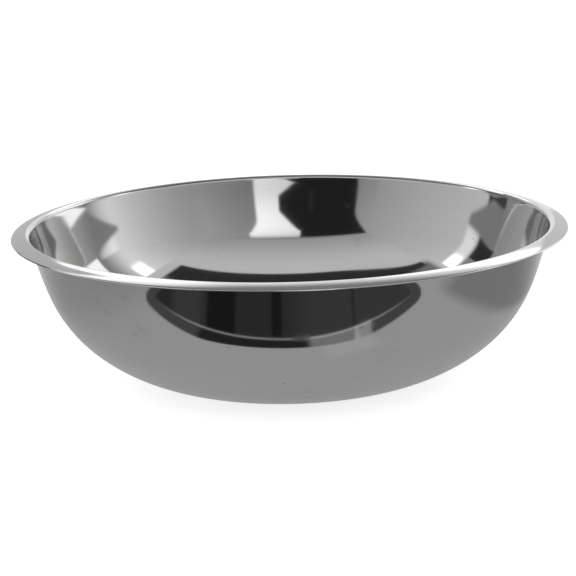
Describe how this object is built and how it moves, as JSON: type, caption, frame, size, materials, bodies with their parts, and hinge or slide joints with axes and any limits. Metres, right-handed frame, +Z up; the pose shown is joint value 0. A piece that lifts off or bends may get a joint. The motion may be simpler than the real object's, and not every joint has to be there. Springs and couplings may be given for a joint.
{
  "type": "mixing bowl",
  "caption": "Large round mixing bowl pressed from one sheet of polished stainless steel, with a flat base, a curved wall and a wide sloping rim.",
  "frame": {"origin": "middle of the flat base's underside, on the surface that the bowl stands on", "axes": "+Z up, along the axis of the round bowl and out of its mouth; X and Y point anywhere across it, because it is round"},
  "size_m": [0.572, 0.572, 0.16],
  "materials": {
    "polished_steel": "polished"
  },
  "bodies": {
    "root": {"bowl": "polished_steel"}
  },
  "joints": []
}
